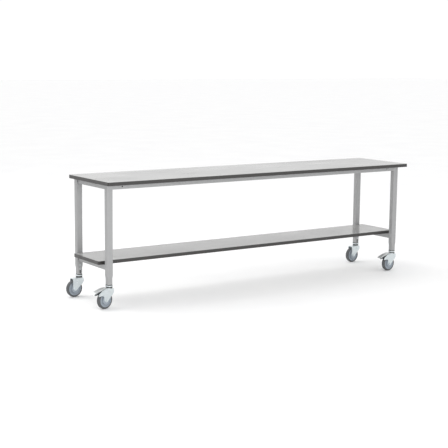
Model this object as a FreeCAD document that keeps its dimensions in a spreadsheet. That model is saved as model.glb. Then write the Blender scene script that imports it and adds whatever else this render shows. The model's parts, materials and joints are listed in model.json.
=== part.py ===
import FreeCAD, Part
import Sketcher
import math
import os
from FreeCAD import Placement, Rotation, Vector

# Mobile work table. Origin on the floor under the middle of the worktop.
# +X runs along the table, -Y is the front, +Z is up. All lengths are millimetres.

DIMENSIONS = [
    # worktop and shelf boards
    ("top_length", 2800), ("top_depth", 600), ("top_height", 900),
    ("board_thick", 25), ("laminate_thick", 0.8), ("band_thick", 2), ("corner_radius", 12),
    ("shelf_length", 2800), ("shelf_depth", 380), ("shelf_height", 328), ("shelf_gap", 4),
    # legs
    ("leg_width", 45), ("leg_depth", 40), ("leg_wall", 2), ("leg_radius", 4),
    ("leg_inset", 32), ("front_overhang", 78), ("rear_overhang", 25),
    ("foot_width", 36), ("foot_height", 167), ("taper_low", 210), ("taper_high", 235),
    ("cap_thick", 6), ("socket_height", 95), ("socket_flange", 5),
    ("slot_low", 172), ("slot_high", 198), ("slot_wide", 10),
    ("socket_screw_low", 207), ("socket_screw_high", 235),
    # rails under the worktop and beams under the shelf
    ("rail_high", 36), ("rail_thick", 25), ("rail_wall", 2), ("rail_setback", 2.5),
    ("plate_thick", 3), ("tab_length", 40), ("tab_width", 26),
    ("hole_dia", 10), ("hole_inboard", 100),
    # castors
    ("wheel_dia", 125), ("tyre_wide", 32), ("trail", 43), ("castor_height", 162),
    ("fork_inside", 40), ("fork_sheet", 3), ("crown_low", 135), ("crown_high", 139),
    ("housing_top", 154), ("housing_dia", 46), ("plate_dia", 54), ("race_gap", 0.6),
    ("kingpin_dia", 12), ("axle_dia", 10), ("running_gap", 0.05),
    ("rim_dia", 100), ("hub_dia", 40), ("hub_wide", 34), ("bearing_dia", 26), ("bearing_wide", 8),
    ("ball_dia", 6), ("ball_circle", 32), ("guard_dia", 62),
    ("pedal_wide", 34), ("pedal_sheet", 2.5), ("pivot_trail", 42), ("pivot_height", 137),
    ("pivot_dia", 6), ("shoe_wide", 24), ("shoe_gap", 0.4),
    # angle that each fork is turned to at rest, from trailing towards -X
    ("turn_front_left", 14), ("turn_front_right", 6), ("turn_rear_left", 4), ("turn_rear_right", 4),
]

BALLS = 10
TABS_PER_RAIL = 5

doc = FreeCAD.newDocument("mobile_work_table")
sheet = doc.addObject("Spreadsheet::Sheet", "dims")
for row, (alias, number) in enumerate(DIMENSIONS, start=1):
    sheet.set(f"A{row}", alias)
    sheet.set(f"B{row}", str(number))
    sheet.setAlias(f"B{row}", alias)
doc.recompute()

nodes = []


# ---------------------------------------------------------------- places worked out from the sheet

LEG_X = "(dims.top_length / 2 - dims.leg_inset - dims.leg_width / 2)"
FRONT_Y = "(-dims.top_depth / 2 + dims.front_overhang + dims.leg_depth / 2)"
REAR_Y = "(dims.top_depth / 2 - dims.rear_overhang - dims.leg_depth / 2)"
MID_Y = f"(({FRONT_Y} + {REAR_Y}) / 2)"
BOARD_LOW = "(dims.top_height - dims.board_thick)"
SHELF_LOW = "(dims.shelf_height - dims.board_thick)"
SHELF_Y = f"({REAR_Y} - dims.leg_depth / 2 - dims.shelf_gap - dims.shelf_depth / 2)"
SPAN_X = f"(2 * {LEG_X} - dims.leg_width)"
SPAN_Y = f"({REAR_Y} - {FRONT_Y} - dims.leg_depth)"
RAIL_Z = f"({BOARD_LOW} - dims.rail_high / 2)"
RAIL_SHIFT = "(dims.leg_depth / 2 - dims.rail_thick / 2 - dims.rail_setback)"
WHEEL_Z = "(dims.wheel_dia / 2)"

CASTORS = [
    ("front_left", f"-{LEG_X}", FRONT_Y, "dims.turn_front_left", True),
    ("front_right", LEG_X, FRONT_Y, "dims.turn_front_right", True),
    ("rear_left", f"-{LEG_X}", REAR_Y, "dims.turn_rear_left", False),
    ("rear_right", LEG_X, REAR_Y, "dims.turn_rear_right", False),
]


# ---------------------------------------------------------------- small helpers

def value(expression):
    """The number that an expression has now."""
    result = sheet.evalExpression(str(expression))
    return float(getattr(result, "Value", result))


def place(obj, x="0", y="0", z="0", turn=None, axis=(0, 0, 1)):
    """Binds an object's position, and its turn about an axis, to expressions."""
    if turn is not None:
        obj.Placement = Placement(Vector(0, 0, 0), Rotation(Vector(*axis), 30))
        obj.setExpression("Placement.Rotation.Angle", f"({turn}) * 1 deg")
    for letter, expression in zip("xyz", (x, y, z)):
        obj.setExpression(f"Placement.Base.{letter}", f"({expression}) * 1 mm")


def node(obj, name):
    """Marks an object as one sub-part, and names its file."""
    obj.Label = name
    nodes.append(obj)
    return obj


def box(name, size, at):
    """A Part box centred on a point; size and at are three expressions each."""
    obj = doc.addObject("Part::Box", name)
    for prop, expression in zip(("Length", "Width", "Height"), size):
        obj.setExpression(prop, f"({expression}) * 1 mm")
    corner = [f"({c}) - ({s}) / 2" for c, s in zip(at, size)]
    place(obj, *corner)
    return obj


def rod(name, dia, length, at, axis="z"):
    """A Part cylinder that starts at a point and runs along +x, +y or +z."""
    obj = doc.addObject("Part::Cylinder", name)
    obj.setExpression("Radius", f"({dia}) / 2 * 1 mm")
    obj.setExpression("Height", f"({length}) * 1 mm")
    turns = {"x": (Vector(0, 1, 0), 90), "y": (Vector(1, 0, 0), -90), "z": (Vector(0, 0, 1), 0)}
    obj.Placement = Placement(Vector(0, 0, 0), Rotation(*turns[axis]))
    place(obj, *at)
    return obj


def joined(name, pieces, kind="Part::MultiFuse"):
    """Fuses pieces that touch, or with Part::Compound keeps a group of loose solids."""
    obj = doc.addObject(kind, name)
    if kind == "Part::Compound":
        obj.Links = pieces
    else:
        obj.Shapes = pieces
    return obj


def cut(name, base, tool):
    obj = doc.addObject("Part::Cut", name)
    obj.Base = base
    obj.Tool = tool
    return obj


def plane(body, role):
    return next(f for f in body.Origin.OriginFeatures if f.Role == role)


def sketch_on(body, role, offset="0"):
    """A sketch on one of the body's own origin planes, moved along its normal."""
    sketch = body.newObject("Sketcher::SketchObject", body.Name + "_outline")
    sketch.AttachmentSupport = [(plane(body, role), "")]
    sketch.MapMode = "FlatFace"
    sketch.setExpression("AttachmentOffset.Base.z", f"({offset}) * 1 mm")
    doc.recompute()
    return sketch


def bound(sketch, kind, *where, size):
    """Adds a dimension to a sketch and binds it to an expression."""
    index = sketch.addConstraint(Sketcher.Constraint(kind, *where, value(size)))
    sketch.setExpression(f"Constraints[{index}]", f"({size}) * 1 mm")


def rounded_rectangle(sketch, wide, deep, radius):
    """Closed outline centred on the sketch's origin."""
    half_w, half_d, r = value(wide) / 2, value(deep) / 2, value(radius)
    first = sketch.GeometryCount
    corners = [(1, -1), (1, 1), (-1, 1), (-1, -1)]
    ends = [
        (Vector(-half_w + r, -half_d, 0), Vector(half_w - r, -half_d, 0)),
        (Vector(half_w, -half_d + r, 0), Vector(half_w, half_d - r, 0)),
        (Vector(half_w - r, half_d, 0), Vector(-half_w + r, half_d, 0)),
        (Vector(-half_w, half_d - r, 0), Vector(-half_w, -half_d + r, 0)),
    ]
    quarter = math.pi / 2
    for start, end in ends:
        sketch.addGeometry(Part.LineSegment(start, end))
    for turn, (sx, sy) in enumerate(corners):
        centre = Vector(sx * (half_w - r), sy * (half_d - r), 0)
        ring = Part.Circle(centre, Vector(0, 0, 1), r)
        sketch.addGeometry(Part.ArcOfCircle(ring, (turn - 1) * quarter, turn * quarter))
    for side in range(4):
        line, arc, following = first + side, first + 4 + side, first + (side + 1) % 4
        sketch.addConstraint(Sketcher.Constraint("Tangent", line, 2, arc, 1))
        sketch.addConstraint(Sketcher.Constraint("Tangent", arc, 2, following, 1))
        sketch.addConstraint(Sketcher.Constraint("Vertical" if side % 2 else "Horizontal", line))
    for arc in range(first + 5, first + 8):
        sketch.addConstraint(Sketcher.Constraint("Equal", first + 4, arc))
    sketch.addConstraint(Sketcher.Constraint("Symmetric", first, 1, first + 2, 1, -1, 1))
    bound(sketch, "Radius", first + 4, size=radius)
    bound(sketch, "DistanceX", first + 3, 1, first + 1, 1, size=wide)
    bound(sketch, "DistanceY", first, 1, first + 2, 1, size=deep)


def circle(sketch, dia, x="0", y="0"):
    """A circle with its centre at a point of the sketch."""
    at = Vector(value(x), value(y), 0)
    index = sketch.addGeometry(Part.Circle(at, Vector(0, 0, 1), value(dia) / 2))
    bound(sketch, "Diameter", index, size=dia)
    if at.Length == 0:
        sketch.addConstraint(Sketcher.Constraint("Coincident", index, 3, -1, 1))
        return
    for kind, along, line, size in (("DistanceX", at.x, -2, x), ("DistanceY", at.y, -1, y)):
        if along == 0:
            sketch.addConstraint(Sketcher.Constraint("PointOnObject", index, 3, line))
        else:
            bound(sketch, kind, index, 3, size=size)


def polygon(sketch, points):
    """A closed outline of straight lines; each point is a pair of expressions."""
    places = [Vector(value(x), value(y), 0) for x, y in points]
    first = sketch.GeometryCount
    count = len(places)
    for i, here in enumerate(places):
        sketch.addGeometry(Part.LineSegment(here, places[(i + 1) % count]))
    for i in range(count):
        following = first + (i + 1) % count
        sketch.addConstraint(Sketcher.Constraint("Coincident", first + i, 2, following, 1))
    for i, (x, y) in enumerate(points):
        for kind, along, line, size in (("DistanceX", places[i].x, -2, x), ("DistanceY", places[i].y, -1, y)):
            if abs(along) < 1e-9:
                sketch.addConstraint(Sketcher.Constraint("PointOnObject", first + i, 1, line))
            else:
                bound(sketch, kind, first + i, 1, size=size)


def new_body(name):
    return doc.addObject("PartDesign::Body", name)


def pad(body, sketch, length, both_ways=False, down=False):
    """Adds material from a sketch; both_ways centres it on the sketch's plane."""
    feature = body.newObject("PartDesign::Pad", body.Name + "_pad")
    feature.Profile = sketch
    feature.setExpression("Length", f"({length}) * 1 mm")
    feature.SideType = "Symmetric" if both_ways else "One side"
    feature.Reversed = down
    doc.recompute()
    return feature


def pocket(body, sketch, length, both_ways=False, up=False):
    """Removes material from a sketch, and stops if nothing was removed."""
    before = body.Shape.Volume
    feature = body.newObject("PartDesign::Pocket", body.Name + "_pocket")
    feature.Profile = sketch
    feature.setExpression("Length", f"({length}) * 1 mm")
    feature.SideType = "Symmetric" if both_ways else "One side"
    feature.Reversed = up
    doc.recompute()
    if body.Shape.Volume > before - 1e-6:
        raise RuntimeError(f"{body.Name}: the pocket removes nothing")
    return feature


def loft(body, low, high):
    """Adds material between two sketches."""
    feature = body.newObject("PartDesign::AdditiveLoft", body.Name + "_loft")
    feature.Profile = low
    feature.Sections = [high]
    feature.Ruled = True
    doc.recompute()
    return feature


def turned(body, sketch, cutting=False):
    """Revolves a sketch about its own vertical axis."""
    before = body.Shape.Volume if cutting else 0
    kind = "Groove" if cutting else "Revolution"
    feature = body.newObject(f"PartDesign::{kind}", f"{body.Name}_{kind.lower()}")
    feature.Profile = sketch
    feature.ReferenceAxis = (sketch, ["V_Axis"])
    feature.Angle = 360
    doc.recompute()
    if cutting and body.Shape.Volume > before - 1e-6:
        raise RuntimeError(f"{body.Name}: the groove removes nothing")
    return feature


def rounded_edges(body, radius, wanted):
    """Fillets every edge of the body's shape for which wanted(edge) is true."""
    picked = [f"Edge{i}" for i, edge in enumerate(body.Shape.Edges, start=1) if wanted(edge)]
    if not picked:
        raise RuntimeError(f"{body.Name}: no edge to round")
    base = body.Tip
    feature = body.newObject("PartDesign::Fillet", body.Name + "_fillet")
    feature.Base = (base, picked)
    feature.Radius = radius
    doc.recompute()
    return feature


def flat_circle_at(height):
    """Picks round edges that lie level at one height."""
    def wanted(edge):
        limits = edge.BoundBox
        return abs(limits.ZMin - height) < 1e-4 and abs(limits.ZMax - height) < 1e-4
    return wanted


# ---------------------------------------------------------------- worktop and shelf boards

def slab(name, length, depth, radius, thick, y, z):
    """A flat sheet with rounded corners, its underside at z."""
    body = new_body(name)
    outline = sketch_on(body, "XY_Plane")
    rounded_rectangle(outline, length, depth, radius)
    pad(body, outline, thick)
    place(body, "0", y, z)
    return body


def make_board(name, length, depth, y, top, fixings):
    """Particle-board core, laminate above, backing below and an edge band round it."""
    inner = (f"{length} - 2 * dims.band_thick", f"{depth} - 2 * dims.band_thick")
    radius = "dims.corner_radius - dims.band_thick"
    low = f"{top} - dims.board_thick"
    core_thick = "dims.board_thick - 2 * dims.laminate_thick"
    sheets = [
        ("core", core_thick, f"{low} + dims.laminate_thick"),
        ("backing", "dims.laminate_thick", low),
    ]
    for label, thick, z in sheets:
        body = slab(f"{name}_{label}_sheet", *inner, radius, thick, y, z)
        drilled = cut(f"{name}_{label}_drilled", body, fixings)
        node(drilled, f"{name}_{label}")
    top_sheet = slab(f"{name}_laminate_sheet", *inner, radius, "dims.laminate_thick", y,
                     f"{top} - dims.laminate_thick")
    node(top_sheet, f"{name}_laminate")
    band = new_body(f"{name}_band")
    outline = sketch_on(band, "XY_Plane")
    rounded_rectangle(outline, length, depth, "dims.corner_radius")
    rounded_rectangle(outline, *inner, radius)
    pad(band, outline, "dims.board_thick")
    place(band, "0", y, low)
    node(band, f"{name}_edge_band")


def wood_screw(name, x, y, z, length):
    """A pan-head screw driven upwards; z is the underside of what its head bears on."""
    head_dia, head_high, shank_dia = "9", "2.4", "4.5"
    head = rod(f"{name}_head", head_dia, head_high, (x, y, f"{z} - {head_high}"))
    shank = rod(f"{name}_shank", shank_dia, length, (x, y, f"{z} - {head_high} / 2"))
    return joined(name, [head, shank])


# ---------------------------------------------------------------- frame

def leg_section(body, wide, height, inside=False):
    """The tube's outer outline at a height, or with inside its bore."""
    outline = sketch_on(body, "XY_Plane", height)
    wall = "dims.leg_wall" if inside else "0"
    rounded_rectangle(outline, f"{wide} - 2 * {wall}", f"dims.leg_depth - 2 * {wall}",
                      f"dims.leg_radius - {wall}")
    return outline


def make_leg(name, x, y, inward, holes):
    """Closed tube that narrows above its castor; inward is +1 or -1 along Y."""
    body = new_body(f"{name}_tube")
    narrow, wide = "dims.foot_width", "dims.leg_width"
    pad(body, leg_section(body, narrow, "dims.foot_height"), "dims.taper_low - dims.foot_height")
    loft(body, leg_section(body, narrow, "dims.taper_low"), leg_section(body, wide, "dims.taper_high"))
    pad(body, leg_section(body, wide, "dims.taper_high"), f"{BOARD_LOW} - dims.taper_high")
    pocket(body, leg_section(body, wide, BOARD_LOW, inside=True), f"{BOARD_LOW} - dims.taper_high")
    pocket(body, leg_section(body, narrow, "dims.taper_high", inside=True),
           "dims.taper_high - dims.foot_height")
    window = sketch_on(body, "XZ_Plane")
    half = "dims.slot_wide / 2"
    polygon(window, [(f"-{half}", "dims.slot_low"), (half, "dims.slot_low"),
                     (half, "dims.slot_high"), (f"-{half}", "dims.slot_high")])
    pocket(body, window, "dims.leg_depth", up=inward < 0)
    place(body, x, y)
    node(cut(f"{name}_drilled", body, holes), name)


def channel(name, span, along_x, opens, hole=False):
    """C-section rail centred on its length; opens is the side of its open face."""
    body = new_body(f"{name}_section")
    outline = sketch_on(body, "YZ_Plane" if along_x else "XZ_Plane")
    web, back = f"{-opens} * dims.rail_thick / 2", f"{opens} * dims.rail_thick / 2"
    inside = f"{-opens} * (dims.rail_thick / 2 - dims.rail_wall)"
    top, lip = "dims.rail_high / 2", "dims.rail_high / 2 - dims.rail_wall"
    polygon(outline, [(web, f"-({top})"), (back, f"-({top})"), (back, f"-({lip})"), (inside, f"-({lip})"),
                      (inside, lip), (back, lip), (back, top), (web, top)])
    pad(body, outline, span, both_ways=True)
    if hole:
        holes = sketch_on(body, "XZ_Plane")
        for side in (-1, 1):
            circle(holes, "dims.hole_dia", f"{side} * ({LEG_X} - dims.hole_inboard)")
        pocket(body, holes, "2 * dims.rail_thick", both_ways=True)
    return body


def make_rails():
    """Two long rails and two short ones, all open towards the middle of the table."""
    long_span = f"{SPAN_X} - 2 * dims.plate_thick"
    for name, y, shift, opens in (("front_rail", FRONT_Y, -1, 1), ("rear_rail", REAR_Y, 1, -1)):
        rail = channel(name, long_span, True, opens, hole=True)
        place(rail, "0", f"{y} + {shift} * {RAIL_SHIFT}", RAIL_Z)
        node(rail, name)
    short_span = f"{SPAN_Y} - 2 * dims.plate_thick"
    for name, side in (("left_top_rail", -1), ("right_top_rail", 1)):
        rail = channel(name, short_span, False, -side)
        place(rail, f"{side} * {LEG_X}", MID_Y, RAIL_Z)
        node(rail, name)


def make_end_plates():
    """Plates welded to the rails' ends, which bolt to the legs."""
    plates = []
    for i, sx in enumerate((-1, 1)):
        for j, (y, shift) in enumerate(((FRONT_Y, -1), (REAR_Y, 1))):
            size = ("dims.plate_thick", "dims.rail_thick", "dims.rail_high")
            at = (f"{sx} * ({SPAN_X} - dims.plate_thick) / 2", f"{y} + {shift} * {RAIL_SHIFT}", RAIL_Z)
            plates.append(box(f"long_plate_{i}{j}", size, at))
            size = ("dims.rail_thick", "dims.plate_thick", "dims.rail_high")
            end_y = f"{y} - {shift} * (dims.leg_depth / 2 + dims.plate_thick / 2)"
            plates.append(box(f"short_plate_{i}{j}", size, (f"{sx} * {LEG_X}", end_y, RAIL_Z)))
    bolts = doc.getObject("rail_bolt_group")
    node(cut("rail_end_plates_drilled", joined("end_plate_group", plates), bolts), "rail_end_plates")


def make_rail_bolts():
    """Hexagon bolts through the end plates into the legs, heads inside the rails."""
    head_high, head_across, shank_dia, grip = "4", "11", "6", "5"
    bolts = []
    for i, sx in enumerate((-1, 1)):
        for j, (y, shift) in enumerate(((FRONT_Y, -1), (REAR_Y, 1))):
            for k, up in enumerate((-1, 1)):
                z = f"{RAIL_Z} + {up} * 7"
                face_x = f"{sx} * ({SPAN_X} / 2 - dims.plate_thick)"
                head = hexagon(f"long_head_{i}{j}{k}", head_across, head_high, (0, 1, 0), -90 * sx)
                place(head, face_x, f"{y} + {shift} * {RAIL_SHIFT}", z)
                shank = rod(f"long_shank_{i}{j}{k}", shank_dia, f"dims.plate_thick + {grip} + 1",
                            (face_x + (" - 1" if sx > 0 else f" - dims.plate_thick - {grip}"),
                             f"{y} + {shift} * {RAIL_SHIFT}", z), "x")
                bolts.append(joined(f"long_bolt_{i}{j}{k}", [head, shank]))
                face_y = f"{y} - {shift} * (dims.leg_depth / 2 + dims.plate_thick)"
                head = hexagon(f"short_head_{i}{j}{k}", head_across, head_high, (1, 0, 0), 90 * shift)
                place(head, f"{sx} * {LEG_X}", face_y, z)
                start = f"{face_y} - 1" if shift > 0 else f"{face_y} - dims.plate_thick - {grip}"
                shank = rod(f"short_shank_{i}{j}{k}", shank_dia, f"dims.plate_thick + {grip} + 1",
                            (f"{sx} * {LEG_X}", start, z), "y")
                bolts.append(joined(f"short_bolt_{i}{j}{k}", [head, shank]))
    group = joined("rail_bolt_group", bolts, "Part::Compound")
    node(group, "rail_bolts")


def hexagon(name, across, high, axis=(0, 0, 1), angle=0):
    """A hexagonal prism that starts at its placement and runs along its own axis."""
    obj = doc.addObject("Part::Prism", name)
    obj.Polygon = 6
    obj.setExpression("Circumradius", f"{across} / sqrt(3) * 1 mm")
    obj.setExpression("Height", f"{high} * 1 mm")
    obj.Placement = Placement(Vector(0, 0, 0), Rotation(Vector(*axis), angle))
    return obj


def make_tabs_and_screws():
    """Flat tabs inside the rails that carry the worktop, and the screws through them."""
    tab_high = "dims.plate_thick"
    reach = "(dims.rail_thick / 2 + dims.tab_width / 2)"
    spots = []
    for y, shift in ((FRONT_Y, -1), (REAR_Y, 1)):
        for step in range(TABS_PER_RAIL):
            share = (step - (TABS_PER_RAIL - 1) / 2) / (TABS_PER_RAIL - 1)
            x = f"{share} * ({SPAN_X} - 2 * dims.hole_inboard)"
            tab_y = f"{y} + {shift} * ({RAIL_SHIFT} - {reach})"
            spots.append((x, tab_y, "dims.tab_length", "dims.tab_width"))
    for sx in (-1, 1):
        x = f"{sx} * ({LEG_X} - {reach})"
        spots.append((x, MID_Y, "dims.tab_width", "dims.tab_length"))
    tabs, screws = [], []
    for i, (x, y, along, across) in enumerate(spots):
        tabs.append(box(f"tab_{i}", (along, across, tab_high), (x, y, f"{BOARD_LOW} - {tab_high} / 2")))
        screws.append(wood_screw(f"top_screw_{i}", x, y, f"{BOARD_LOW} - {tab_high}", "20"))
    group = joined("worktop_screw_group", screws, "Part::Compound")
    node(group, "worktop_screws")
    node(cut("tabs_drilled", joined("tab_group", tabs, "Part::Compound"), group), "worktop_tabs")
    return group


def make_shelf_beams():
    """Inverted channels from front leg to rear leg at each end, and the shelf's screws."""
    screws = []
    for i, sx in enumerate((-1, 1)):
        for j, share in enumerate((-0.36, 0.36)):
            y = f"{SHELF_Y} + {share} * dims.shelf_depth"
            screws.append(wood_screw(f"shelf_screw_{i}{j}", f"{sx} * {LEG_X}", y,
                                     f"{SHELF_LOW} - dims.rail_wall", "20"))
    group = joined("shelf_screw_group", screws, "Part::Compound")
    node(group, "shelf_screws")
    for name, side in (("left_shelf_beam", -1), ("right_shelf_beam", 1)):
        body = new_body(f"{name}_section")
        outline = sketch_on(body, "XZ_Plane")
        half, inside = "dims.rail_thick / 2", "dims.rail_thick / 2 - dims.rail_wall"
        low, lip = "-dims.rail_high", "-dims.rail_wall"
        polygon(outline, [(f"-{half}", low), (f"-({inside})", low), (f"-({inside})", lip), (inside, lip),
                          (inside, low), (half, low), (half, "0"), (f"-{half}", "0")])
        pad(body, outline, SPAN_Y, both_ways=True)
        place(body, f"{side} * {LEG_X}", MID_Y, SHELF_LOW)
        node(cut(f"{name}_drilled", body, group), name)
    return group


def make_leg_caps():
    """Plastic plugs that close the legs' top ends."""
    caps = []
    for name, x, y, _, _ in CASTORS:
        body = new_body(f"{name}_cap")
        outline = sketch_on(body, "XY_Plane")
        rounded_rectangle(outline, "dims.leg_width - 2 * dims.leg_wall",
                          "dims.leg_depth - 2 * dims.leg_wall", "dims.leg_radius - dims.leg_wall")
        pad(body, outline, "dims.cap_thick", down=True)
        place(body, x, y, BOARD_LOW)
        caps.append(body)
    node(joined("leg_caps_group", caps, "Part::Compound"), "leg_caps")


def make_socket_screws():
    """Button-head screws through each leg's inner face into its castor socket."""
    head_dia, head_high, shank_dia, shank_length = "11", "3", "6", "12"
    screws = []
    for name, x, y, _, front in CASTORS:
        inward = 1 if front else -1
        for z in ("dims.socket_screw_low", "dims.socket_screw_high"):
            face = f"{y} + {inward} * dims.leg_depth / 2"
            start = face if inward > 0 else f"{face} - {head_high}"
            tag = f"{name}_{z[-4:]}"
            head = rod(f"{tag}_screw_head", head_dia, head_high, (x, start, z), "y")
            start = f"{face} - {shank_length}" if inward > 0 else f"{face} - 1"
            shank = rod(f"{tag}_screw_shank", shank_dia, f"{shank_length} + 1", (x, start, z), "y")
            screws.append(joined(f"{tag}_screw", [head, shank]))
    group = joined("socket_screw_group", screws, "Part::Compound")
    node(group, "socket_screws")
    return group


def make_sockets(screws, stems):
    """Plugs in the legs' bottom ends that hold the castor stems."""
    plugs = []
    for name, x, y, _, _ in CASTORS:
        body = new_body(f"{name}_socket")
        outline = sketch_on(body, "XY_Plane", "dims.foot_height")
        rounded_rectangle(outline, "dims.foot_width - 2 * dims.leg_wall",
                          "dims.leg_depth - 2 * dims.leg_wall", "dims.leg_radius - dims.leg_wall")
        pad(body, outline, "dims.socket_height")
        flange = sketch_on(body, "XY_Plane", "dims.foot_height")
        rounded_rectangle(flange, "dims.foot_width", "dims.leg_depth", "dims.leg_radius")
        pad(body, flange, "dims.socket_flange", down=True)
        place(body, x, y)
        plugs.append(body)
    group = joined("socket_group", plugs, "Part::Compound")
    drilled = cut("sockets_screwed", group, screws)
    node(cut("sockets_bored", drilled, stems), "castor_sockets")


# ---------------------------------------------------------------- castors

def at_castor(obj, castor, trail="0", height="0"):
    """Places a piece that was drawn about the swivel axis, trailing towards -X."""
    _, x, y, turn, _ = castor
    place(obj, f"{x} - ({trail}) * cos({turn} * 1 deg)", f"{y} - ({trail}) * sin({turn} * 1 deg)",
          height, turn=turn)


def make_stems():
    """Kingpins: riveted head under the fork, shank up through the leg's socket."""
    head_dia, head_high, stem_top = "22", "4", "196"
    stems = []
    for name, x, y, _, _ in CASTORS:
        low = "dims.crown_low - 0.4"
        head = rod(f"{name}_stem_head", head_dia, head_high, (x, y, f"{low} - {head_high}"))
        shank = rod(f"{name}_stem_shank", "dims.kingpin_dia", f"{stem_top} - ({low}) + 1",
                    (x, y, f"{low} - 1"))
        stems.append(joined(f"{name}_stem", [head, shank]))
    group = joined("stem_group", stems, "Part::Compound")
    node(group, "castor_stems")
    return group


def ball_groove(body, height):
    """A ring-shaped groove for the balls, a little larger than they are."""
    outline = sketch_on(body, "XZ_Plane")
    circle(outline, "dims.ball_dia + dims.race_gap", "dims.ball_circle / 2", height)
    turned(body, outline, cutting=True)


def make_swivel_plates(stems):
    """Upper race plates, fixed to the kingpins above the forks."""
    plates = []
    for name, x, y, _, _ in CASTORS:
        body = new_body(f"{name}_race")
        outline = sketch_on(body, "XY_Plane", "dims.housing_top + dims.race_gap")
        circle(outline, "dims.plate_dia")
        pad(body, outline, "dims.castor_height - dims.housing_top - dims.race_gap")
        rounded_edges(body, 3, flat_circle_at(value("dims.castor_height")))
        ball_groove(body, "dims.housing_top + dims.race_gap / 2")
        place(body, x, y)
        plates.append(body)
    group = joined("race_group", plates, "Part::Compound")
    node(cut("races_bored", group, stems), "swivel_plates")


def make_balls():
    """Rings of balls between the swivel plates and the forks."""
    balls = []
    for name, x, y, _, _ in CASTORS:
        for i in range(BALLS):
            ball = doc.addObject("Part::Sphere", f"{name}_ball_{i}")
            ball.setExpression("Radius", "dims.ball_dia / 2 * 1 mm")
            angle = f"{i} * 360 / {BALLS} * 1 deg"
            place(ball, f"{x} + dims.ball_circle / 2 * cos({angle})",
                  f"{y} + dims.ball_circle / 2 * sin({angle})", "dims.housing_top + dims.race_gap / 2")
            balls.append(ball)
    node(joined("ball_group", balls, "Part::Compound"), "swivel_balls")


# side views of the forks' cheeks, from the crown round to the trailing edge, then the axle end
CHEEK_END = [("-64", "62"), ("-50", "50"), ("-36", "50"), ("-20", "66"), ("-3", "82"), ("16", "98"),
             ("27", "112")]
REAR_CHEEK = [("27", "dims.crown_low"), ("27", "dims.crown_high"), ("-57", "dims.crown_high"),
              ("-64", "dims.crown_low - 3")]
BRAKE_CHEEK = [("27", "dims.crown_low"), ("27", "dims.crown_high"), ("-10", "dims.crown_high + 6"),
               ("-30", "dims.crown_high + 8"), ("-52", "dims.crown_high + 6"), ("-80", "134"), ("-108", "119"),
               ("-117", "104"), ("-113", "97"), ("-80", "100"), ("-67", "92")]


def open_sides(body, with_brake):
    """Clears the wheel's space between the cheeks, and with a brake the pedal's space above it."""
    outline = sketch_on(body, "XZ_Plane")
    low = [("-160", "0"), ("60", "0"), ("60", "dims.crown_low")]
    if with_brake:
        above = [("-30", "dims.crown_low"), ("-30", "160"), ("-160", "160")]
    else:
        above = [("-160", "dims.crown_low")]
    polygon(outline, low + above)
    pocket(body, outline, "dims.fork_inside", both_ways=True)


def make_fork(castor):
    """Pressed fork: crown, two broad cheeks, swivel housing and, in front, the brake's side walls."""
    name, _, _, _, with_brake = castor
    body = new_body(f"{name}_fork_body")
    outside = "dims.fork_inside + 2 * dims.fork_sheet"
    cheek = sketch_on(body, "XZ_Plane")
    polygon(cheek, (BRAKE_CHEEK if with_brake else REAR_CHEEK) + CHEEK_END)
    pad(body, cheek, outside, both_ways=True)
    open_sides(body, with_brake)
    housing = sketch_on(body, "XY_Plane", "dims.crown_low")
    circle(housing, "dims.housing_dia")
    pad(body, housing, "dims.housing_top - dims.crown_low")
    bore = sketch_on(body, "XY_Plane", "dims.housing_top")
    circle(bore, "dims.kingpin_dia + 2 * dims.running_gap")
    pocket(body, bore, "dims.housing_top - dims.crown_low")
    ball_groove(body, "dims.housing_top + dims.race_gap / 2")
    axle_hole = sketch_on(body, "XZ_Plane")
    circle(axle_hole, "dims.axle_dia", "-dims.trail", WHEEL_Z)
    pocket(body, axle_hole, "2 * dims.fork_inside", both_ways=True)
    if with_brake:
        pivot_hole = sketch_on(body, "XZ_Plane")
        circle(pivot_hole, "dims.pivot_dia + 2 * dims.running_gap", "-dims.pivot_trail", "dims.pivot_height")
        pocket(body, pivot_hole, "2 * dims.fork_inside", both_ways=True)
    at_castor(body, castor)
    node(body, f"{name}_fork")


def make_axle(castor):
    """Bolt with a hexagon head, and its nut outside the other cheek."""
    name = castor[0]
    head_high, head_across = "6", "16"
    reach = "(dims.fork_inside / 2 + dims.fork_sheet)"
    head = hexagon(f"{name}_axle_head", head_across, head_high, (1, 0, 0), 90)
    head.setExpression("Placement.Base.y", f"-{reach} * 1 mm")
    shank = rod(f"{name}_axle_shank", "dims.axle_dia", f"2 * {reach} + {head_high} + 3",
                ("0", f"-{reach} - 1", "0"), "y")
    bolt = joined(f"{name}_axle_bolt", [head, shank])
    nut = hexagon(f"{name}_axle_nut", head_across, head_high, (1, 0, 0), -90)
    nut.setExpression("Placement.Base.y", f"{reach} * 1 mm")
    nut_bored = cut(f"{name}_axle_nut_bored", nut, shank)
    pair = joined(f"{name}_axle_pair", [bolt, nut_bored], "Part::Compound")
    at_castor(pair, castor, "dims.trail", WHEEL_Z)
    node(pair, f"{name}_axle")


def ring_section(body, points):
    """Turns a closed outline of (radius, offset) points about the wheel's axle."""
    outline = sketch_on(body, "XY_Plane")
    polygon(outline, points)
    turned(body, outline)


def mirrored_points(half):
    """Completes an outline given from its inner edge outwards, for offsets above zero."""
    return half + [(radius, f"-({offset})") for radius, offset in reversed(half)]


def make_tyre(castor):
    """Soft tread with rounded shoulders."""
    body = new_body(f"{castor[0]}_tyre_ring")
    outer, side = "dims.wheel_dia / 2", "dims.tyre_wide / 2"
    inner = "dims.rim_dia / 2"
    ring_section(body, mirrored_points([
        (inner, f"{side} - 3"), (f"{inner} + 2", f"{side} - 0.5"), (f"{outer} - 6", side),
        (f"{outer} - 2.5", f"{side} - 2"), (f"{outer} - 0.8", f"{side} - 6"), (outer, f"{side} - 11")]))
    at_castor(body, castor, "dims.trail", WHEEL_Z)
    node(body, f"{castor[0]}_tyre")


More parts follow.
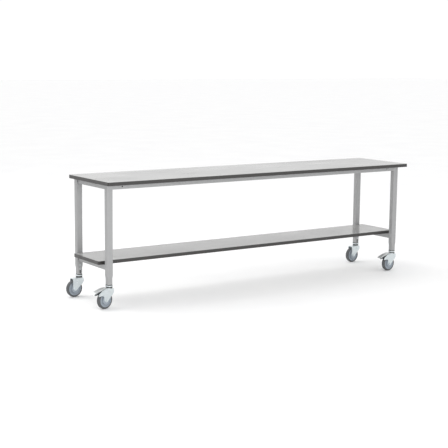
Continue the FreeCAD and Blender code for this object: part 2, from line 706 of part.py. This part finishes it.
def make_wheel_core(castor):
    """Moulded centre: hub, dished web with two raised rings, and rim."""
    body = new_body(f"{castor[0]}_core_ring")
    rim, hub = "dims.rim_dia / 2", "dims.hub_dia / 2"
    bore, seat = "dims.axle_dia / 2 + 1", "dims.bearing_dia / 2"
    hub_side = "dims.hub_wide / 2"
    ring_section(body, mirrored_points([
        (bore, f"{hub_side} - dims.bearing_wide"), (seat, f"{hub_side} - dims.bearing_wide"),
        (seat, hub_side), (f"{hub} - 2", hub_side), (hub, f"{hub_side} - 2"), (f"{hub} + 1", "8"),
        (f"{hub} + 7", "8"), (f"{hub} + 8", "11"), (f"{hub} + 11", "11"), (f"{hub} + 12", "8"),
        (f"{rim} - 8", "8"), (f"{rim} - 6", "13"), (f"{rim} - 1", "13.5"), (rim, "13")]))
    at_castor(body, castor, "dims.trail", WHEEL_Z)
    node(body, f"{castor[0]}_wheel_core")


def make_bearings(castor):
    """A ball bearing in each end of the hub."""
    name = castor[0]
    rings = []
    for i, side in enumerate((-1, 1)):
        body = new_body(f"{name}_bearing_{i}")
        inner = "dims.axle_dia / 2 + dims.running_gap"
        outer, low = "dims.bearing_dia / 2", f"{side} * (dims.hub_wide / 2 - dims.bearing_wide)"
        high, seal = f"{side} * dims.hub_wide / 2", f"{side} * (dims.hub_wide / 2 - 0.6)"
        ring_section(body, [(inner, low), (outer, low), (outer, high), (f"{outer} - 2.5", high),
                            (f"{outer} - 2.5", seal), (f"{inner} + 2.2", seal), (f"{inner} + 2.2", high),
                            (inner, high)])
        rings.append(body)
    pair = joined(f"{name}_bearing_pair", rings, "Part::Compound")
    at_castor(pair, castor, "dims.trail", WHEEL_Z)
    node(pair, f"{name}_wheel_bearings")


def make_thread_guards(castor):
    """Round plastic covers between the hub and the fork's cheeks."""
    name = castor[0]
    covers = []
    for i, side in enumerate((-1, 1)):
        body = new_body(f"{name}_guard_{i}")
        outer, inner = "dims.guard_dia / 2", "dims.axle_dia / 2"
        near, far = "dims.hub_wide / 2 + 0.5", "dims.fork_inside / 2"
        ring_section(body, [(inner, f"{side} * ({near})"), (f"{outer} - 2", f"{side} * ({near})"),
                            (outer, f"{side} * ({near} - 3.5)"), (outer, f"{side} * ({near} - 1)"),
                            (f"{outer} - 2.5", f"{side} * ({far})"), (inner, f"{side} * ({far})")])
        covers.append(body)
    pair = joined(f"{name}_guard_pair", covers, "Part::Compound")
    at_castor(pair, castor, "dims.trail", WHEEL_Z)
    node(pair, f"{name}_thread_guards")


# ---------------------------------------------------------------- brakes of the two front castors

PEDAL_TOP = [("-36", "151.5"), ("-60", "151"), ("-104", "142"), ("-140", "130"), ("-158", "119")]
PEDAL_LOW = [("-155", "115"), ("-136", "121"), ("-112", "129"), ("-80", "134"), ("-50", "129"), ("-36", "130")]


def make_pedal(castor):
    """Folded steel pedal, open below, that turns on a pin through the fork."""
    name = castor[0]
    body = new_body(f"{name}_pedal_body")
    outline = sketch_on(body, "XZ_Plane")
    polygon(outline, PEDAL_TOP + PEDAL_LOW)
    pad(body, outline, "dims.pedal_wide", both_ways=True)
    hollow = sketch_on(body, "XZ_Plane")
    roof = [(x, f"{z} - dims.pedal_sheet") for x, z in PEDAL_TOP[:4]]
    polygon(hollow, [("-30", roof[0][1])] + roof + [("-136", "112"), ("-30", "112")])
    pocket(body, hollow, "dims.pedal_wide - 2 * dims.pedal_sheet", both_ways=True)
    hole = sketch_on(body, "XZ_Plane")
    circle(hole, "dims.pivot_dia", "-dims.pivot_trail", "dims.pivot_height")
    pocket(body, hole, "2 * dims.pedal_wide", both_ways=True)
    at_castor(body, castor)
    node(body, f"{name}_brake_pedal")


def make_pivot_pin(castor):
    """The pin through the fork's side walls that the pedal turns on."""
    name = castor[0]
    reach = "(dims.fork_inside / 2 + dims.fork_sheet + 0.8)"
    pin = rod(f"{name}_pin_rod", "dims.pivot_dia", f"2 * {reach}",
              ("-dims.pivot_trail", f"-{reach}", "dims.pivot_height"), "y")
    group = joined(f"{name}_pin_group", [pin], "Part::Compound")
    at_castor(group, castor)
    node(group, f"{name}_brake_pin")


def make_brake_shoe(castor):
    """Block under the pedal's roof, hollowed to the tyre's curve."""
    name = castor[0]
    shoe_low, shoe_high = "120", "145.8"
    block = box(f"{name}_shoe_block", ("20", "dims.shoe_wide", f"{shoe_high} - {shoe_low}"),
                ("-63", "0", f"({shoe_low} + {shoe_high}) / 2"))
    space = rod(f"{name}_shoe_space", "dims.wheel_dia + 2 * dims.shoe_gap", "80",
                ("-dims.trail", "-40", WHEEL_Z), "y")
    shoe = cut(f"{name}_shoe_hollow", block, space)
    group = joined(f"{name}_shoe_group", [shoe], "Part::Compound")
    at_castor(group, castor)
    node(group, f"{name}_brake_shoe")


def build():
    top_screws = make_tabs_and_screws()
    shelf_screws = make_shelf_beams()
    make_board("worktop", "dims.top_length", "dims.top_depth", "0", "dims.top_height", top_screws)
    make_board("shelf", "dims.shelf_length", "dims.shelf_depth", SHELF_Y, "dims.shelf_height", shelf_screws)
    make_rail_bolts()
    make_rails()
    make_end_plates()
    socket_screws = make_socket_screws()
    holes = joined("leg_holes", [doc.getObject("rail_bolt_group"), socket_screws], "Part::Compound")
    for name, x, y, _, front in CASTORS:
        make_leg(f"{name}_leg", x, y, 1 if front else -1, holes)
    make_leg_caps()
    stems = make_stems()
    make_sockets(socket_screws, stems)
    make_swivel_plates(stems)
    make_balls()
    for castor in CASTORS:
        make_fork(castor)
        make_axle(castor)
        make_thread_guards(castor)
        make_tyre(castor)
        make_wheel_core(castor)
        make_bearings(castor)
        if castor[4]:
            make_pedal(castor)
            make_pivot_pin(castor)
            make_brake_shoe(castor)


def export():
    """Checks every object, then writes one STEP file for each sub-part."""
    doc.recompute()
    for obj in doc.Objects:
        if "Invalid" in obj.State or "Error" in obj.State:
            raise RuntimeError(f"{obj.Name}: {obj.State}")
    os.makedirs("parts", exist_ok=True)
    for obj in nodes:
        shape = obj.Shape
        if shape.isNull() or not shape.isValid() or not shape.Solids:
            raise RuntimeError(f"{obj.Label}: bad shape")
    for obj in nodes:
        obj.Shape.exportStep(f"parts/{obj.Label}.step")
        print(obj.Label, len(obj.Shape.Solids), round(obj.Shape.Volume))


build()
export()
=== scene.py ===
import json
import math

import bmesh
import bpy
from mathutils import Euler, Matrix, Vector


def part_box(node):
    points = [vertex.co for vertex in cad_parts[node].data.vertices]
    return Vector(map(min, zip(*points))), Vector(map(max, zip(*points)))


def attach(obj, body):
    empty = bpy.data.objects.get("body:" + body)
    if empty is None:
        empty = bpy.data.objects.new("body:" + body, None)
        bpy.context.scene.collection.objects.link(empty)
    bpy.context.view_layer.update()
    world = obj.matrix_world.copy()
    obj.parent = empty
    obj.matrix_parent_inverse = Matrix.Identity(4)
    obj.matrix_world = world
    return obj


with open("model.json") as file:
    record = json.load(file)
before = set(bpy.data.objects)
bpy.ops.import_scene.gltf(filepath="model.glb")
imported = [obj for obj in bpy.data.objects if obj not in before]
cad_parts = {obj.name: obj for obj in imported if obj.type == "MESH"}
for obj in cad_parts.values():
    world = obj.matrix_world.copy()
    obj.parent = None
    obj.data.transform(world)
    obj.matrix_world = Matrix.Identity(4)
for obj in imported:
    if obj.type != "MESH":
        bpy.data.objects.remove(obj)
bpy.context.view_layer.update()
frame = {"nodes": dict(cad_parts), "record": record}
nodes = frame["nodes"]

CORNERS = ("front_left", "front_right", "rear_left", "rear_right")
BRAKED = ("front_left", "front_right")


# ---------------------------------------------------------------- shader helpers

def new_material(name):
    material = bpy.data.materials.new(name)
    material.use_nodes = True
    return material, material.node_tree, material.node_tree.nodes["Principled BSDF"]


def add(tree, kind, **settings):
    """Adds a shader node; settings with an underscore prefix are input values."""
    made = tree.nodes.new(kind)
    for key, setting in settings.items():
        if key.startswith("_"):
            made.inputs[key[1:].replace("_", " ")].default_value = setting
        else:
            setattr(made, key, setting)
    return made


def noise(tree, scale, detail=3.0, stretch=(1, 1, 1), roughness=0.5):
    """Noise in object coordinates, in cells per metre, that can be stretched along an axis."""
    where = add(tree, "ShaderNodeTexCoord")
    mapping = add(tree, "ShaderNodeMapping")
    mapping.inputs["Scale"].default_value = stretch
    tree.links.new(where.outputs["Object"], mapping.inputs["Vector"])
    made = add(tree, "ShaderNodeTexNoise", _Scale=scale, _Detail=detail, _Roughness=roughness)
    tree.links.new(mapping.outputs["Vector"], made.inputs["Vector"])
    return made.outputs["Fac"]


def spread(tree, source, low, high, from_low=0.3, from_high=0.7):
    """Maps a noise to a range of numbers."""
    made = add(tree, "ShaderNodeMapRange", _From_Min=from_low, _From_Max=from_high, _To_Min=low, _To_Max=high)
    tree.links.new(source, made.inputs["Value"])
    return made.outputs["Result"]


def blend_colours(tree, factor, first, second):
    """Mixes two colours, each a colour or a socket."""
    made = add(tree, "ShaderNodeMix", data_type="RGBA")
    tree.links.new(factor, made.inputs["Factor"])
    for socket, colour in ((made.inputs[6], first), (made.inputs[7], second)):
        if isinstance(colour, tuple):
            socket.default_value = (*colour, 1.0)
        else:
            tree.links.new(colour, socket)
    return made.outputs[2]


def shade(colour, factor):
    return tuple(min(1.0, c * factor) for c in colour)


def edge_mask(tree, radius, strength):
    """White along convex and concave edges, from how far a rounded normal turns away."""
    bevel = add(tree, "ShaderNodeBevel", samples=6)
    bevel.inputs["Radius"].default_value = radius
    plain = add(tree, "ShaderNodeNewGeometry")
    dot = add(tree, "ShaderNodeVectorMath", operation="DOT_PRODUCT")
    tree.links.new(bevel.outputs["Normal"], dot.inputs[0])
    tree.links.new(plain.outputs["Normal"], dot.inputs[1])
    return spread(tree, dot.outputs["Value"], strength, 0.0, 0.75, 0.995)


def bump(tree, shader, layers):
    """Stacks noises as bumps; each layer is (height socket, distance in metres, strength)."""
    normal = None
    for height, distance, strength in layers:
        made = add(tree, "ShaderNodeBump", _Strength=strength, _Distance=distance)
        tree.links.new(height, made.inputs["Height"])
        if normal is not None:
            tree.links.new(normal, made.inputs["Normal"])
        normal = made.outputs["Normal"]
    tree.links.new(normal, shader.inputs["Normal"])


def surface(name, colour, rough, grain, metallic=0.0, tone=0.06, rough_change=0.08, relief=0.00005,
            strength=0.3, broad=4.0, coat=0.0, wear=None, stretch=(1, 1, 1), specular=0.5):
    """A material with fine grain, broad tone changes, uneven gloss, relief and worn edges."""
    material, tree, shader = new_material(name)
    shader.inputs["Metallic"].default_value = metallic
    shader.inputs["Specular IOR Level"].default_value = specular
    shader.inputs["Coat Weight"].default_value = coat
    shader.inputs["Coat Roughness"].default_value = 0.2
    fine = noise(tree, grain, 2.0, stretch)
    wide = noise(tree, broad, 3.0)
    mottled = blend_colours(tree, spread(tree, fine, 0, 1), shade(colour, 1 - tone), shade(colour, 1 + tone))
    tinted = blend_colours(tree, spread(tree, wide, 0, 0.5), mottled, shade(colour, 1 - 0.8 * tone))
    if wear:
        worn_colour, radius, amount = wear
        edges = edge_mask(tree, radius, amount)
        patchy = add(tree, "ShaderNodeMath", operation="MULTIPLY")
        tree.links.new(edges, patchy.inputs[0])
        tree.links.new(spread(tree, noise(tree, 60, 3.0), 0.2, 1.0), patchy.inputs[1])
        tinted = blend_colours(tree, patchy.outputs[0], tinted, worn_colour)
    tree.links.new(tinted, shader.inputs["Base Color"])
    gloss = spread(tree, noise(tree, broad * 5, 4.0), rough - rough_change, rough + rough_change)
    tree.links.new(gloss, shader.inputs["Roughness"])
    bump(tree, shader, [(fine, relief, strength)])
    return material


# ---------------------------------------------------------------- materials

def laminate_material(name, colour, rough):
    """High-pressure laminate: fine speckle, pearl texture, faint smears from cleaning."""
    material, tree, shader = new_material(name)
    shader.inputs["Specular IOR Level"].default_value = 0.45
    speckle = noise(tree, 900, 1.0)
    cloud = noise(tree, 2.2, 3.0)
    flecks = spread(tree, noise(tree, 420, 2.0, roughness=0.7), 0.0, 1.0, 0.6, 0.74)
    grained = blend_colours(tree, spread(tree, speckle, 0, 1), shade(colour, 0.965), shade(colour, 1.035))
    flecked = blend_colours(tree, spread(tree, flecks, 0, 0.35, 0, 1), grained, shade(colour, 0.86))
    clouded = blend_colours(tree, spread(tree, cloud, 0, 0.6), flecked, shade(colour, 0.975))
    tree.links.new(clouded, shader.inputs["Base Color"])
    smears = noise(tree, 7, 4.0, stretch=(0.35, 1, 1), roughness=0.6)
    tree.links.new(spread(tree, smears, rough - 0.05, rough + 0.07), shader.inputs["Roughness"])
    bump(tree, shader, [(noise(tree, 1600, 2.0), 0.00004, 0.18)])
    return material


def zinc_material(name, colour, rough):
    """Bright zinc plating: cloudy crystals, a cold tint and light drawing marks."""
    material, tree, shader = new_material(name)
    shader.inputs["Metallic"].default_value = 0.85
    where = add(tree, "ShaderNodeTexCoord")
    cells = add(tree, "ShaderNodeTexVoronoi", _Scale=260.0, feature="F1")
    tree.links.new(where.outputs["Object"], cells.inputs["Vector"])
    crystals = spread(tree, cells.outputs["Distance"], 0, 1, 0.0, 0.7)
    clouds = noise(tree, 90, 4.0)
    plated = blend_colours(tree, crystals, shade(colour, 0.95), shade(colour, 1.05))
    cloudy = blend_colours(tree, spread(tree, clouds, 0, 0.6), plated, shade(colour, 0.84))
    edges = edge_mask(tree, 0.0012, 0.6)
    tree.links.new(blend_colours(tree, edges, cloudy, shade(colour, 1.12)), shader.inputs["Base Color"])
    tree.links.new(spread(tree, clouds, rough - 0.08, rough + 0.12), shader.inputs["Roughness"])
    bump(tree, shader, [(noise(tree, 700, 2.0, stretch=(1, 1, 0.2)), 0.00004, 0.25)])
    return material


def tyre_material(name, colour):
    """Soft tread rubber: fine moulding grain, dust low on the tread and scuffs on the shoulders."""
    material, tree, shader = new_material(name)
    shader.inputs["Specular IOR Level"].default_value = 0.35
    fine = noise(tree, 1500, 2.0)
    scuffs = noise(tree, 140, 5.0, roughness=0.65)
    plain = blend_colours(tree, spread(tree, fine, 0, 1), shade(colour, 0.9), shade(colour, 1.12))
    dusty = blend_colours(tree, spread(tree, scuffs, 0, 0.45, 0.5, 0.75), plain, (0.2, 0.2, 0.2))
    edges = edge_mask(tree, 0.0025, 0.3)
    tree.links.new(blend_colours(tree, edges, dusty, (0.17, 0.175, 0.18)), shader.inputs["Base Color"])
    tree.links.new(spread(tree, scuffs, 0.5, 0.72), shader.inputs["Roughness"])
    bump(tree, shader, [(scuffs, 0.0002, 0.15), (fine, 0.00008, 0.3)])
    return material


def board_material(name):
    """Raw particle board: pressed chips of several browns."""
    material, tree, shader = new_material(name)
    where = add(tree, "ShaderNodeTexCoord")
    chips = add(tree, "ShaderNodeTexVoronoi", _Scale=350.0)
    tree.links.new(where.outputs["Object"], chips.inputs["Vector"])
    tone = add(tree, "ShaderNodeSeparateColor")
    tree.links.new(chips.outputs["Color"], tone.inputs["Color"])
    colour = blend_colours(tree, tone.outputs["Red"], (0.42, 0.3, 0.18), (0.68, 0.54, 0.36))
    tree.links.new(colour, shader.inputs["Base Color"])
    tree.links.new(spread(tree, noise(tree, 300), 0.75, 0.95), shader.inputs["Roughness"])
    bump(tree, shader, [(chips.outputs["Distance"], 0.0004, 0.5)])
    return material


LAMINATE = (0.31, 0.31, 0.307)
COAT = (0.32, 0.322, 0.325)
ZINC = (0.66, 0.71, 0.725)

finishes = {
    "laminate": laminate_material("laminate", LAMINATE, 0.21),
    "backing": surface("backing", (0.5, 0.5, 0.49), 0.6, 700, tone=0.04),
    "particle_board": board_material("particle_board"),
    "edge_band": surface("edge_band", (0.032, 0.03, 0.029), 0.36, 1200, tone=0.1, relief=0.00008,
                         strength=0.35, wear=((0.09, 0.085, 0.08), 0.0012, 0.6)),
    "powder_coat": surface("powder_coat", COAT, 0.42, 1100, metallic=0.25, tone=0.05, relief=0.00012,
                           strength=0.22, broad=3.0, wear=((0.52, 0.52, 0.52), 0.0025, 0.5)),
    "zinc_steel": zinc_material("zinc_steel", ZINC, 0.32),
    "pedal_steel": zinc_material("pedal_steel", (0.6, 0.62, 0.62), 0.34),
    "bearing_steel": surface("bearing_steel", (0.6, 0.6, 0.62), 0.22, 500, metallic=1.0, tone=0.03),
    "grey_plastic": surface("grey_plastic", (0.28, 0.318, 0.36), 0.4, 1400, tone=0.05, relief=0.00006,
                            strength=0.3, broad=30.0, wear=((0.42, 0.44, 0.48), 0.0015, 0.6)),
    "tyre_rubber": tyre_material("tyre_rubber", (0.085, 0.09, 0.095)),
    "black_plastic": surface("black_plastic", (0.02, 0.02, 0.021), 0.45, 1300, tone=0.15, broad=40.0,
                             wear=((0.07, 0.07, 0.07), 0.001, 0.6)),
}

slot_of = {entry["node"]: entry["material_slot"] for entry in frame["record"]["subparts"]}


def dress(obj, slot):
    obj.data.materials.clear()
    obj.data.materials.append(finishes[slot])


for name, obj in nodes.items():
    dress(obj, slot_of[name])


# ---------------------------------------------------------------- softened edges

def soften(name, width):
    """Rounds a CAD node's sharp edges with modifiers, without touching its mesh."""
    modifiers = nodes[name].modifiers
    modifiers.new("weld", "WELD").merge_threshold = 0.00001
    bevel = modifiers.new("soft_edges", "BEVEL")
    bevel.width = width
    bevel.segments = 2
    bevel.limit_method = "ANGLE"
    bevel.angle_limit = math.radians(30)
    modifiers.new("weighted", "WEIGHTED_NORMAL").keep_sharp = True


for corner in CORNERS:
    soften(f"{corner}_fork", 0.0007)
for corner in BRAKED:
    soften(f"{corner}_brake_pedal", 0.0006)
for name in ("left_top_rail", "right_top_rail", "left_shelf_beam", "right_shelf_beam"):
    soften(name, 0.0006)


# ---------------------------------------------------------------- small added pieces

def finish_piece(name, bm, slot, body, edge_width=0.0):
    """Turns a bmesh into a smooth piece that rides on a body, with rounded edges if a width is given."""
    mesh = bpy.data.meshes.new(name)
    bm.to_mesh(mesh)
    bm.free()
    for face in mesh.polygons:
        face.use_smooth = True
    obj = bpy.data.objects.new(name, mesh)
    bpy.context.scene.collection.objects.link(obj)
    dress(obj, slot)
    if edge_width:
        bevel = obj.modifiers.new("edges", "BEVEL")
        bevel.width = edge_width
        bevel.segments = 3
        bevel.limit_method = "ANGLE"
    obj.modifiers.new("normals", "WEIGHTED_NORMAL").keep_sharp = True
    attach(obj, body)


def leg_centre(corner):
    """The point on the floor under the middle of a leg."""
    low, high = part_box(f"{corner}_leg")
    return Vector(((low.x + high.x) / 2, (low.y + high.y) / 2, 0))


def lathe(bm, profile, origin, axis, sides):
    """Turns (radius, offset) pairs about a unit axis through origin, and returns the last ring."""
    origin, axis = Vector(origin), Vector(axis)
    across = axis.orthogonal().normalized()
    other = axis.cross(across)
    rings = []
    for radius, offset in profile:
        angles = (math.tau * i / sides for i in range(sides))
        spokes = (across * math.cos(angle) + other * math.sin(angle) for angle in angles)
        rings.append([bm.verts.new(origin + axis * offset + spoke * radius) for spoke in spokes])
    for low, high in zip(rings, rings[1:]):
        for i in range(sides):
            j = (i + 1) % sides
            bm.faces.new((low[i], low[j], high[j], high[i]))
    return rings[-1]


def weld_beads():
    """Rippled weld beads up the shelf beams' ends, where they meet the legs."""
    radius, pitch, margin, wobble = 0.0021, 0.0026, 0.002, 0.00025
    flatten = Matrix.Diagonal((1.0, 1.0, 0.8, 1.0))
    bm = bmesh.new()
    for beam in ("left_shelf_beam", "right_shelf_beam"):
        low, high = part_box(beam)
        for y in (low.y, high.y):
            for x in (low.x, high.x):
                for i in range(int((high.z - low.z - margin) / pitch)):
                    sway = wobble * math.sin(2.4 * i + 90 * x)
                    place = Matrix.Translation((x + sway, y, low.z + margin + i * pitch))
                    bmesh.ops.create_icosphere(bm, subdivisions=2, radius=radius, matrix=place @ flatten)
    finish_piece("weld_beads", bm, "powder_coat", "table")


def screw_socket_shades():
    """Black six-sided marks on the button-head screws on the legs' inner faces, a painted shade standing in
    for the shaded drive sockets.
    """
    head_height, screw_rises = 0.003, (0.040, 0.068)
    rim = [(0.0031, 0.0001), (0.0026, 0.0005), (0.0022, 0.0001)]
    bm = bmesh.new()
    for corner in CORNERS:
        low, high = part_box(f"{corner}_leg")
        inward = 1 if corner.startswith("front") else -1
        face = high.y if inward > 0 else low.y
        for rise in screw_rises:
            head = (leg_centre(corner).x, face + inward * head_height, low.z + rise)
            bm.faces.new(lathe(bm, rim, head, (0, inward, 0), sides=6))
    finish_piece("screw_socket_shades", bm, "black_plastic", "table", 0.0001)


def rail_hole_shade_cups():
    """Black blind cups behind the rails' accessory holes, each with a collar against the web: a painted shade
    that makes the holes read dark.
    """
    web_thickness, leg_to_hole, sides = 0.002, 0.100, 32
    bore, wall, collar = 0.0051, 0.0066, 0.009
    bore_depth, back, collar_back, collar_face = 0.014, 0.0155, 0.001, 0.0001
    inside = [(bore, 0.0), (bore, bore_depth)]
    outside = [(wall, back), (wall, collar_back), (collar, collar_back), (collar, collar_face), (bore, 0.0)]
    hole_x = leg_centre("front_right").x - leg_to_hole
    bm = bmesh.new()
    for rail, inward in (("front_rail", 1), ("rear_rail", -1)):
        low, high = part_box(rail)
        web = low.y if inward > 0 else high.y
        for x in (-hole_x, hole_x):
            start = (x, web + inward * web_thickness, (low.z + high.z) / 2)
            bm.faces.new(lathe(bm, inside, start, (0, inward, 0), sides))
            lathe(bm, outside, start, (0, inward, 0), sides)
    finish_piece("rail_hole_shade_cups", bm, "black_plastic", "table")


def painted_shade_rings():
    """Ribbed black rings round the swivel housings, a painted shade: they darken the zinc neck under the top
    plate, which is dark only from shade and dark reflection.
    """
    low_drop, high_drop, folds = 0.0125, 0.001, 6
    inner, outer, fold_depth = 0.0229, 0.0243, 0.0007
    for corner in CORNERS:
        fork_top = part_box(f"{corner}_fork")[1].z
        start, end = fork_top - low_drop, fork_top - high_drop
        step = (end - start) / folds
        ribs = [(outer - fold_depth * (i % 2), start + i * step) for i in range(folds + 1)]
        bm = bmesh.new()
        lathe(bm, [(inner, start), *ribs, (inner, end)], leg_centre(corner), (0, 0, 1), sides=64)
        finish_piece(f"{corner}_painted_shade_ring", bm, "black_plastic", f"{corner}_castor")


def pedal_ribs():
    """Two raised ribs along the top of each brake pedal."""
    spine = [(-0.066, 0.1498, 0.0004), (-0.104, 0.1420, 0.0011), (-0.132, 0.1327, 0.0004)]
    offset, half_foot, half_crest, sunk = 0.0085, 0.0024, 0.0013, 0.0004
    joints = {joint["name"]: joint for joint in frame["record"]["behaviour"]["joints"]}
    for corner in BRAKED:
        axle = joints[f"{corner}_wheel_spin"]["axis"]
        across = Vector((axle[0], axle[1], 0)).normalized()
        along = Vector((across.y, -across.x, 0))
        bm = bmesh.new()
        for side in (-1, 1):
            sections = []
            for reach, z, crest in spine:
                middle = leg_centre(corner) + along * reach + across * (side * offset) + Vector((0, 0, z))
                outline = ((-half_foot, -sunk), (-half_crest, crest), (half_crest, crest), (half_foot, -sunk))
                places = [middle + across * y + Vector((0, 0, up)) for y, up in outline]
                sections.append([bm.verts.new(place) for place in places])
            for first, second in zip(sections, sections[1:]):
                for i in range(3):
                    bm.faces.new((first[i], first[i + 1], second[i + 1], second[i]))
        bmesh.ops.recalc_face_normals(bm, faces=bm.faces)
        finish_piece(f"{corner}_pedal_ribs", bm, "pedal_steel", f"{corner}_brake", 0.0003)


weld_beads()
screw_socket_shades()
rail_hole_shade_cups()
painted_shade_rings()
pedal_ribs()


# ---------------------------------------------------------------- stage, light and camera

def make_floor():
    mesh = bpy.data.meshes.new("floor")
    half = 60.0
    corners = [(-half, -half, 0), (half, -half, 0), (half, half, 0), (-half, half, 0)]
    mesh.from_pydata(corners, [], [(0, 1, 2, 3)])
    floor = bpy.data.objects.new("floor", mesh)
    bpy.context.scene.collection.objects.link(floor)
    material, tree, shader = new_material("floor")
    tone = blend_colours(tree, spread(tree, noise(tree, 1.5), 0, 1), (0.93, 0.93, 0.935), (0.96, 0.96, 0.96))
    tree.links.new(tone, shader.inputs["Base Color"])
    tree.links.new(spread(tree, noise(tree, 3.0), 0.75, 0.9), shader.inputs["Roughness"])
    shader.inputs["Specular IOR Level"].default_value = 0.1
    mesh.materials.append(material)


def make_world(strength):
    world = bpy.data.worlds.new("studio")
    world.use_nodes = True
    background = world.node_tree.nodes["Background"]
    background.inputs["Color"].default_value = (1.0, 1.0, 1.0, 1.0)
    background.inputs["Strength"].default_value = strength
    bpy.context.scene.world = world


def area_light(name, place, target, size, power):
    data = bpy.data.lights.new(name, "AREA")
    data.shape = "RECTANGLE"
    data.size, data.size_y = size
    data.energy = power
    light = bpy.data.objects.new(name, data)
    bpy.context.scene.collection.objects.link(light)
    light.location = place
    light.rotation_euler = (Vector(target) - Vector(place)).to_track_quat("-Z", "Y").to_euler()


def make_camera():
    """Long lens to the left of the front, a little above the worktop."""
    place = (-5.067, -7.010, 1.780)
    heading, dip, roll = 34.62, 8.65, 0.6
    data = bpy.data.cameras.new("camera")
    data.sensor_width = 36.0
    data.lens = 89.84
    camera = bpy.data.objects.new("camera", data)
    bpy.context.scene.collection.objects.link(camera)
    aim = Euler((math.radians(90 - dip), 0, math.radians(-heading))).to_matrix()
    tilt = Matrix.Rotation(math.radians(roll), 3, "Z")
    camera.rotation_euler = (aim @ tilt).to_euler()
    camera.location = place
    bpy.context.scene.camera = camera


make_floor()
make_world(1.04)
area_light("front", (-1.5, -5.5, 1.5), (0.2, 0, 0.4), (5.0, 1.4), 100)
area_light("back", (-2.6, 2.6, 4.2), (0, 0, 0.2), (3.5, 2.5), 75)
make_camera()
bpy.context.scene.view_settings.view_transform = "Standard"
